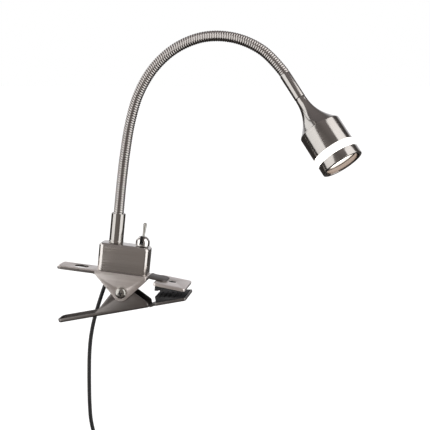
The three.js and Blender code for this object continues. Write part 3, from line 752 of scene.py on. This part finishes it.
def jaw_rubber(name, node, spec, matrix, level, rise):
    """The gripping pad: a wedge with shallow grooves across its face and a nub through the jaw's hole."""
    place, slope = jaw_matrix(spec, matrix)
    x0, x1 = JAW["start"] + SHEET + 0.7, JAW["tip"] - SHEET - 1.2
    back = spec["top"] - TONGUE_STEP - SHEET - JAW_GAP - SHEET - 0.7
    half = JAW["width"] / 2 - SHEET - 0.3
    face = [(x0, level + rise * x0)]
    grooves = 5
    for k in range(1, grooves + 1):
        x = x0 + (x1 - x0) * k / (grooves + 1)
        for dx, dz in ((-0.7, 0), (-0.45, 0.6), (0.45, 0.6), (0.7, 0)):
            face.append((x + dx, level + rise * (x + dx) + dz))
    face.append((x1, level + rise * x1))
    face += [(x, back - math.tan(slope) * (x - JAW["start"])) for x in (x1, x0)]
    pad = prism(name, face, -half, half, matrix, "xz")
    hole_x, hole_r = JAW["hole"]
    nub = lathe("nub", fillet([(0, -3.5), (hole_r - 0.4, -3.5), (hole_r - 0.4, -0.1), (0, -0.1)], 0.5, 3),
                shifted(place, hole_x - JAW["start"]), 32)
    return eased(cut(pad, nub, operation="UNION"), 0.25, 2, 28)


def toned(obj, matrix, spec):
    """Painted shadow and shade on a stamping, in darker nickel: the switch box's shadow on its tongue beyond
    the ears, shade on the handle's flange, and shade inside it.
    """
    # Material 1 paints the box's shadow and the inside shade, material 2 the flange's shade.
    obj.data.materials.append(M["tongue"])
    obj.data.materials.append(M["lever"])
    to_piece = matrix.inverted() @ obj.matrix_world
    bm = bmesh.new()
    bm.from_mesh(obj.data)
    bmesh.ops.bisect_plane(bm, geom=bm.verts[:] + bm.edges[:] + bm.faces[:],
                           plane_co=to_piece.inverted() @ Vector((spec["back"] * MM, 0, 0)),
                           plane_no=to_piece.to_3x3().transposed() @ Vector((1, 0, 0)))
    bm.to_mesh(obj.data)
    bm.free()
    skin = SHEET * 0.8
    for face in obj.data.polygons:
        p = to_piece @ face.center / MM
        # Faces on the tongue take the painted shadow of the switch box; faces inside the channel take painted
        # shade.
        in_box_shadow = p.x > spec["front"] + 0.2 and p.z > spec["top"] - 4
        inside = abs(p.y) < spec["width"] / 2 - skin and p.z < spec["top"] - skin
        upright = abs((to_piece.to_3x3() @ face.normal).z) < 0.6
        if in_box_shadow or inside:
            face.material_index = 1
        # The handle flange's upright faces take the darker nickel as painted shade.
        elif p.x < spec["back"] and upright:
            face.material_index = 2


def clip_pieces():
    upper = stamping("upper_clip_sheet", UPPER, CLIP)
    eased(upper, 0.22)
    placed(upper, "clip", "satin_nickel", "sheet", "upper_clip")
    toned(upper, CLIP, UPPER)
    upper_jaw = jaw_sheet("upper_jaw_sheet", UPPER, CLIP)
    placed(upper_jaw, "clip", "satin_nickel", "sheet", "upper_jaw_plate")

    pivot = joint_pos("clip_pivot")
    tilt = math.asin(-joint_axis("toggle_throw").z)
    pad = jaw_rubber("upper_jaw_rubber", "upper_jaw_pad", UPPER, CLIP, -pivot.z / MM / math.cos(tilt),
                     math.tan(tilt))
    placed(pad, "clip", "black_rubber", "rubber", "upper_jaw_pad")

    lower = stamping("lower_clip_sheet", LOWER, LEVER)
    eased(lower, 0.22)
    # The lever and its jaw plate take the darker nickel: painted shade.
    placed(lower, "lower_jaw", "satin_nickel", "lever", "lower_clip")
    toned(lower, LEVER, LOWER)
    lower_jaw = jaw_sheet("lower_jaw_sheet", LOWER, LEVER)
    placed(lower_jaw, "lower_jaw", "satin_nickel", "lever", "lower_jaw_plate")
    swing = tilt + LEVER_ANGLE
    level = (-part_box("lower_jaw_pad")[1].z + pivot.z) / MM / math.cos(swing)
    pad = jaw_rubber("lower_jaw_rubber", "lower_jaw_pad", LOWER, LEVER, level, -math.tan(swing))
    placed(pad, "lower_jaw", "black_rubber", "rubber", "lower_jaw_pad")


def pivot_pieces():
    face = UPPER["width"] / 2 + 0.3
    front = shifted(CLIP, 0, -face) @ Matrix.Rotation(math.pi / 2, 4, "X")
    radius, rim, rise = 5.6, 0.5, 2.8
    dome = [(0, 0), (radius, 0), (radius, rim)]
    for k in range(1, 12):
        angle = math.pi / 2 * k / 12
        dome.append((radius * math.cos(angle), rim + rise * math.sin(angle)))
    dome.append((0, rim + rise))
    screw = lathe("pivot_screw_head", dome, front, 64)
    for turn in (20, 110):
        slot_matrix = front @ Matrix.Rotation(math.radians(turn), 4, "Z")
        outline = [(-2.9, 5), (-2.2, 1.9), (2.2, 1.9), (2.9, 5)]
        cut(screw, prism("slot", outline, -0.62, 0.62, slot_matrix, "xz"))
    eased(screw, 0.14, 2, 30)
    shank = rod("pivot_shank", 2.2, -2 * face - 5, 0.1, front, 32)
    cut(screw, shank, operation="UNION")
    smooth(screw, 40)
    placed(screw, "clip", "bright_chrome", "screw", "pivot_screw")
    # The cross slot's faces take the black plastic: painted shade in the chrome screw's slot.
    screw.data.materials.append(M["plastic"])
    for facet in screw.data.polygons:
        p = facet.center / MM
        flat = math.hypot(p.x, p.y) / radius
        if flat < 0.55 and 1.5 < p.z < rim - 0.15 + rise * math.sqrt(1 - flat ** 2):
            facet.material_index = 1

    hexagon = [(5.2 * math.cos(math.pi / 3 * k), 5.2 * math.sin(math.pi / 3 * k)) for k in range(6)]
    back = shifted(CLIP, 0, face) @ Matrix.Rotation(-math.pi / 2, 4, "X")
    nut = prism("pivot_hex_nut", hexagon, 0, 4, back)
    cut(nut, lathe("round", [(0, -1), (7, -1), (4.4, 4.6), (0, 4.6)], back, 48), operation="INTERSECT")
    cut(nut, rod("bore", 2.35, -2, 6, back, 32))
    eased(nut, 0.2)
    placed(nut, "clip", "zinc_steel", "zinc", "pivot_nut")
    spring = frame["nodes"]["torsion_spring"]
    spring.data.materials.clear()
    spring.data.materials.append(M["zinc"])
    smooth(spring, 80)


# ---------------------------------------------------------------- switch box, ferrule and toggle
def box_pieces():
    left, right, half = BOX["x"] - BOX["length"] / 2, BOX["x"] + BOX["length"] / 2, BOX["depth"] / 2
    case = pillow("switch_box_case", left, right, half, BOX["corner"], BOX_FOOT, BOX_TOP,
                  BOX["fillet"], CLIP, 10)
    cavity = pillow("cavity", left + BOX_WALL, right - BOX_WALL, half - BOX_WALL, BOX["corner"] - BOX_WALL,
                    BOX_FOOT - 2, BOX_TOP - BOX_WALL, BOX["fillet"] - BOX_WALL, CLIP, 5)
    cut(case, cavity)
    eased(case, 0.3, 2)
    placed(case, "clip", "satin_nickel", "box", "switch_box")

    base = shifted(CLIP, FERRULE_X, 0, BOX_TOP)
    top = FERRULE_HEIGHT
    outline = [(2.4, -8), (4, -8), (4, 0.3), (7.3, 0.3), (7.3, 2.6), (7.05, 3), (7, top), (5.3, top),
               (5.3, top - 14.5), (2.4, top - 16.5)]
    profile = fillet(outline, [0, 0, 0, 0.35, 0.3, 0.3, 0.5, 0.2, 0, 0], 4, True)
    ferrule = lathe("lower_ferrule_tube", profile, base, 96, True)
    placed(ferrule, "clip", "satin_nickel", "turned", "lower_ferrule")


def relief_piece():
    """The strain relief: a moulded elbow out of the box's back wall, its drooping sleeve cut with rings."""
    exit_x, exit_z = -15.5, 29
    knee = CLIP @ (Vector((exit_x, CORD_Y, exit_z)) * MM)
    down = (CLIP @ Matrix.Rotation(math.radians(14), 4, "Y")).to_3x3() @ Vector((0, 0, -1))
    inward = Vector((0, -1, 0))
    bend = 4.2 * MM
    points = [knee + inward * 10 * MM, knee + inward * 7 * MM, knee + inward * bend]
    for k in range(1, 8):
        t = k / 8
        a, b = knee + inward * bend, knee + down * bend
        points.append(a * (1 - t) ** 2 + knee * 2 * t * (1 - t) + b * t ** 2)
    points += [knee + down * d * MM for d in (4.2, 6, 8, 10, 12, 13.5, 15)]
    path = spline(points, 0.25 * MM)

    def radius(distance, _):
        d = distance / MM
        r = 3.4 - 0.62 * max(0, min(1, (d - 8) / 12.5))
        ring = (d - 12.0) / 1.9
        if 0 < ring < 4.2 and ring % 1 > 0.55:
            r -= 0.5
        return r * MM

    sleeve = tube("strain_sleeve", path, radius, 32)
    wall = shifted(CLIP, exit_x, BOX["depth"] / 2, exit_z) @ Matrix.Rotation(-math.pi / 2, 4, "X")
    collar = lathe("collar", fillet([(0, 0.3), (4.3, 0.3), (4.3, 1.9), (0, 1.9)], 0.4, 3), wall, 40)
    cut(sleeve, collar, operation="UNION")
    smooth(sleeve, 40)
    placed(sleeve, "clip", "black_rubber", "rubber", "strain_relief")


def toggle_pieces():
    base = shifted(CLIP, TOGGLE_X, 0, BOX_TOP)
    radius, foot, rise = 7, 4.0, 6.5
    profile = [(0, 0.6), (6.3, 0.6), (6.9, 0.9), (radius, 1.4), (radius, foot)]
    for k in range(1, 13):
        angle = math.pi / 2 * k / 13
        profile.append((radius * math.cos(angle) ** 0.92, foot + rise * math.sin(angle)))
    profile.append((0, foot + rise))
    dome = lathe("toggle_dome_cap", profile, base, 64)
    slot = prism("slot", [(-1.75, 2.6), (1.75, 2.6), (2.0, 12), (-2.0, 12)], -9, 9, base, "xz")
    cut(dome, slot)
    eased(dome, 0.3, 3, 40)
    placed(dome, "clip", "bright_chrome", "chrome", "toggle_dome")
    # The slot's inner faces take the black plastic: painted shade in the chrome dome's slot.
    dome.data.materials.append(M["plastic"])
    for face in dome.data.polygons:
        inside = abs(face.center.x) < 2.15 * MM and face.center.z > 2.5 * MM
        if inside and (abs(face.normal.x) > 0.85 or face.center.z < 2.7 * MM):
            face.material_index = 1

    upright = axes_at(joint_pos("toggle_throw"), joint_axis("toggle_throw"),
                      CLIP.to_3x3() @ Vector((0, 0, 1)))
    lean = upright @ Matrix.Rotation(math.radians(-12), 4, "X")
    long = 18.9
    bat = fillet([(0, -1.7), (1.1, -1.3), (1.6, 0), (1.25, 1.3), (1.15, 4), (1.3, 10), (1.65, 15),
                  (1.8, long - 1.4), (1.4, long - 0.3), (0, long)], 1.2, 4)
    lever = lathe("toggle_bat", bat, lean, 40)
    placed(lever, "toggle", "bright_chrome", "screw", "toggle_lever")


# ---------------------------------------------------------------- gooseneck
def neck_pieces():
    """One ribbed tube from ferrule to ferrule, in pieces that each span one of the neck's joints."""
    names = sorted((j for j in JOINTS if j.startswith(("neck_", "head_"))),
                   key=lambda j: (JOINTS[j]["child"] == "head", len(JOINTS[j]["child"]), JOINTS[j]["child"]))
    up = (CLIP.to_3x3() @ Vector((0, 0, 1))).normalized()
    knots = [joint_pos(n) for n in names]
    start, end = knots[0] - up * (NECK_STUB + 6) * MM, knots[-1] + HEAD_AXIS * (NECK_STUB + 1) * MM
    line = [start - up * 8 * MM, start, *knots, end, end + HEAD_AXIS * 8 * MM]
    dense = spline(line, RIB_PITCH * MM / 12)

    def nearest(p):
        return min(range(len(dense)), key=lambda i: (dense[i] - p).length_squared)

    marks = [nearest(k) for k in knots]
    cuts = [nearest(start)] + [(a + b) // 2 for a, b in zip(marks, marks[1:])] + [nearest(end)]
    step = (dense[1] - dense[0]).length
    across = Vector((0, 1, 0))
    for i, name in enumerate(names):
        first, last = cuts[i], cuts[i + 1]

        def radius(distance, angle, offset=first * step):
            turn = (distance + offset) / (RIB_PITCH * MM) + angle / (2 * math.pi)
            off_crest = (turn % 1 - 0.5) * RIB_PITCH
            return (NECK_R + 0.2 - RIB_ROUND + math.sqrt(RIB_ROUND ** 2 - off_crest ** 2)) * MM

        piece = tube(f"gooseneck_{i + 1}", dense[first:last + 1], radius, 28, across)
        piece.data.materials.append(M["neck"])
        tangent = (dense[marks[i] + 1] - dense[marks[i] - 1]).normalized()
        reach = min(BEND_REACH * MM, (dense[marks[i]] - dense[first]).length - BEND_SPARE * MM,
                    (dense[last] - dense[marks[i]]).length - BEND_SPARE * MM)
        ends = [(JOINTS[name]["parent"], knots[i] - tangent * reach),
                (JOINTS[name]["child"], knots[i] + tangent * reach)]
        # Every second piece names its bodies child first: with one order for all, one piece is thrown far off
        # when every joint is at its upper limit.
        if i % 2 == 0:
            ends.reverse()
        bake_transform(piece)
        nodes = {0: ["neck_base"], len(names) - 1: [f"neck_link_{len(names) - 1}", "neck_end"]}
        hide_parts(*nodes.get(i, [f"neck_link_{i}"]))


# ---------------------------------------------------------------- head
def flare_radius(z):
    return HEAD_NECK_R + (HEAD_R - HEAD_NECK_R) * (z / FLARE) ** 2.3


def head_pieces():
    """The turned head along its axis, from the upper ferrule to the bezel, with the lit ring and lens."""
    seam = shifted(HEAD, 0, 0, SEAM)
    outline = [(2, -HEAD_FERRULE), (HEAD_NECK_R, -HEAD_FERRULE), (HEAD_NECK_R + 0.05, -1),
               (HEAD_NECK_R, -0.3), (2, -0.3)]
    ferrule = fillet(outline, [0, 0.5, 0, 0.35, 0], 4, True)
    placed(lathe("upper_ferrule_tube", ferrule, seam, 80, True), "head", "satin_nickel_alloy", "turned",
           "upper_ferrule")

    count = 28
    flare = [(flare_radius(z), z) for z in (FLARE * k / count for k in range(count + 1))]
    shoulder = fillet(flare[-3:] + [(HEAD_R, FLARE + 3)], [0, 0, 1.6, 0], 6)
    outside = [(3.4, 0.0), (HEAD_NECK_R - 0.35, 0.0)] + flare[1:-3] + shoulder
    bore = HEAD_R - SHELL_WALL
    rim = fillet([(HEAD_R, FLARE + 4), (HEAD_R, SHELL_END), (bore, SHELL_END), (bore, FLARE + 4)],
                 [0, 0.35, 0.2, 0], 4)
    inside = [(bore, FLARE + 2)]
    inside += [(flare_radius(z) - 1.9, z) for z in (FLARE * k / 12 for k in range(11, 4, -1))]
    inside.append((3.4, 11))
    shell = lathe("head_shell_skin", outside + rim + inside, seam, 128, True)
    placed(shell, "head", "satin_nickel_alloy", "turned", "head_shell")

    ring_r = HEAD_R - 0.15
    ring = fillet([(17.5, SHELL_END + 0.3), (ring_r, SHELL_END + 0.3), (ring_r, RING_END), (17.5, RING_END)],
                  0.4, 3, True)
    placed(lathe("lit_ring", ring, seam, 128, True), "head", "frosted_ring", "ring", "diffuser_ring")

    outline = [(15.7, 50), (17.2, 50), (17.2, RING_END + 0.3), (HEAD_R, RING_END + 0.3), (HEAD_R, BEZEL_END),
               (BEZEL_BORE + 0.4, BEZEL_END), (BEZEL_BORE, BEZEL_END - 1.2), (BEZEL_BORE, RING_END + 1),
               (15.7, RING_END + 1)]
    bezel = fillet(outline, [0, 0, 0, 0.4, 0.9, 0.5, 0.3, 0, 0], 5, True)
    skin = placed(lathe("head_bezel_skin", bezel, seam, 128, True), "head", "satin_nickel_alloy", "turned",
                  "head_bezel")
    # The bore's faces take the darker nickel: painted shade inside the bezel.
    skin.data.materials.append(M["inside"])
    for face in skin.data.polygons:
        if math.hypot(face.center.x, face.center.y) < (BEZEL_BORE + 0.3) * MM:
            face.material_index = 1

    lens_r = 17
    edge = [(9, RING_END + 1.8), (lens_r, RING_END + 1.3), (lens_r, RING_END + 3), (9, RING_END + 3.4)]
    lens = [(0, RING_END + 2.0), *fillet(edge, 0.3, 3), (0, RING_END + 3.5)]
    placed(lathe("lit_lens_disc", lens, seam, 96), "head", "lens_clear", "lens", "lens")
    foot, top = RING_END + 3.3, RING_END + 4.2
    snap = fillet([(16, foot), (lens_r, foot), (lens_r, top), (16, top)], 0.2, 2, True)
    placed(lathe("lens_snap_ring", snap, seam, 96, True), "head", "black_plastic", "turned", "lens_ring")


# ---------------------------------------------------------------- inner pieces, in the frame's own shapes
def inner_pieces():
    finishes = {
        "box_screw_left": "zinc", "box_screw_right": "zinc", "ferrule_nut": "zinc", "toggle_body": "plastic",
        "toggle_terminal_1": "brass", "toggle_terminal_2": "brass", "toggle_terminal_3": "brass",
        "head_nut": "zinc", "heat_sink": "sink", "led_board": "board", "led_screw_left": "zinc",
        "led_screw_right": "zinc", "led_chip": "led", "reflector": "reflector",
    }
    for node, material in finishes.items():
        mesh = frame["nodes"][node].data
        mesh.materials.clear()
        mesh.materials.append(M[material])
        mesh.shade_smooth()
        mesh.set_sharp_from_angle(angle=math.radians(35))


# ---------------------------------------------------------------- floor, light and world
def make_stage():
    """A pale floor that pales into the white behind it with distance, and that the metal does not mirror."""
    bpy.ops.mesh.primitive_plane_add(size=60, location=(0, 0, FLOOR - 0.0002))
    floor = bpy.context.object
    floor.name = "floor"
    n = Nodes("pale_floor", (0.36, 0.36, 0.36), 0.9)
    n.set("Roughness", n.ranged(n.noise(0.002), 0.85, 0.95))
    n.shader.inputs["Emission Color"].default_value = (1, 1, 1, 1)
    away = n.add("VectorMath", operation="LENGTH")
    n.link(n.add("TexCoord").outputs["Object"], away.inputs[0])
    n.set("Emission Strength", n.ranged(away.outputs["Value"], 0.78, 0.97, 0.4, 2.5))
    floor.data.materials.append(n.material)
    floor.visible_glossy = False


def softbox(name, azimuth, distance, height, size, radiance, mirrored=True):
    """An area light aimed at the lamp. The azimuth is in degrees from -Y towards +X."""
    turn = math.radians(azimuth)
    aim = Vector((0.03, 0, 0.08))
    data = bpy.data.lights.new(name, "AREA")
    data.shape, data.size, data.size_y = "RECTANGLE", *size
    data.energy = radiance * math.pi * size[0] * size[1]
    light = bpy.data.objects.new(name, data)
    bpy.context.scene.collection.objects.link(light)
    light.location = aim + Vector((math.sin(turn) * distance, -math.cos(turn) * distance, height))
    light.rotation_mode = "QUATERNION"
    light.rotation_quaternion = (aim - light.location).to_track_quat("-Z", "Y")
    light.visible_glossy = mirrored


def make_lights():
    softbox("left_softbox", -56, 1.6, 0.2, (1.6, 2.3), 1.55)
    softbox("rear_left_softbox", -112, 1.5, 0.8, (1.5, 1.0), 1.5)
    softbox("right_softbox", 76, 1.6, 0.3, (1.75, 3.4), 1.75)
    softbox("overhead_softbox", 180, 0.3, 1.6, (1.2, 1.0), 3.5, mirrored=False)


def make_world():
    """White to the camera. The metal mirrors a bright wall behind, a dim room in front and dark elsewhere."""
    world = bpy.data.worlds.new("studio")
    bpy.context.scene.world = world
    world.use_nodes = True
    tree = world.node_tree
    tree.nodes.clear()

    def node(kind, **inputs):
        made = tree.nodes.new("ShaderNode" + kind)
        for key, value in inputs.items():
            made.inputs[key].default_value = value
        return made

    split = node("SeparateXYZ")
    tree.links.new(node("TexCoord").outputs["Generated"], split.inputs[0])

    def ramp(axis, color, stops):
        """The colour times a value that runs through the stops as that part of the direction goes -1 to 1."""
        made = node("ValToRGB")
        elements = made.color_ramp.elements
        while len(elements) < len(stops):
            elements.new(0.5)
        for element, (where, value) in zip(elements, stops):
            element.position, element.color = (where + 1) / 2, (*(c * value for c in color), 1)
        unit = node("MapRange")
        unit.inputs["From Min"].default_value = -1
        tree.links.new(split.outputs[axis], unit.inputs["Value"])
        tree.links.new(unit.outputs["Result"], made.inputs["Fac"])
        return made.outputs["Color"]

    def combined(operation, a, b):
        made = tree.nodes.new("ShaderNodeVectorMath")
        made.operation = operation
        tree.links.new(a, made.inputs[0])
        tree.links.new(b, made.inputs[1])
        return made.outputs[0]

    white = (1, 1, 1)
    front = combined("MULTIPLY",
                     ramp("Y", (1, 0.9, 0.84), [(-1, 0.28), (-0.6, 0.19), (-0.1, 0.07), (0.6, 0.05)]),
                     ramp("Z", white, [(-1, 0.4), (-0.4, 1), (0.2, 0.9), (0.6, 0.6), (1, 0.5)]))
    back = combined("MULTIPLY", ramp("Y", (0.96, 0.96, 1), [(0.72, 0.04), (0.88, 0.85), (1, 0.85)]),
                    ramp("Z", white, [(-0.05, 0.04), (0.03, 1), (0.35, 1), (0.6, 0.3), (1, 0.1)]))
    above = ramp("Z", (1, 0.9, 0.9), [(-1, 0), (0.5, 0.02), (0.75, 0.2), (1, 0.26)])
    mirrored = node("Background")
    tree.links.new(combined("ADD", combined("ADD", front, back), above), mirrored.inputs["Color"])
    seen = node("Background", Color=(1, 1, 1, 1), Strength=1.0)
    choose = node("MixShader")
    tree.links.new(node("LightPath").outputs["Is Camera Ray"], choose.inputs[0])
    tree.links.new(mirrored.outputs[0], choose.inputs[1])
    tree.links.new(seen.outputs[0], choose.inputs[2])
    tree.links.new(choose.outputs[0], node("OutputWorld").inputs["Surface"])
    bpy.context.scene.view_settings.view_transform = "Standard"


cord_pieces()
clip_pieces()
pivot_pieces()
box_pieces()
relief_piece()
toggle_pieces()
neck_pieces()
head_pieces()
inner_pieces()
make_stage()
make_lights()
make_world()
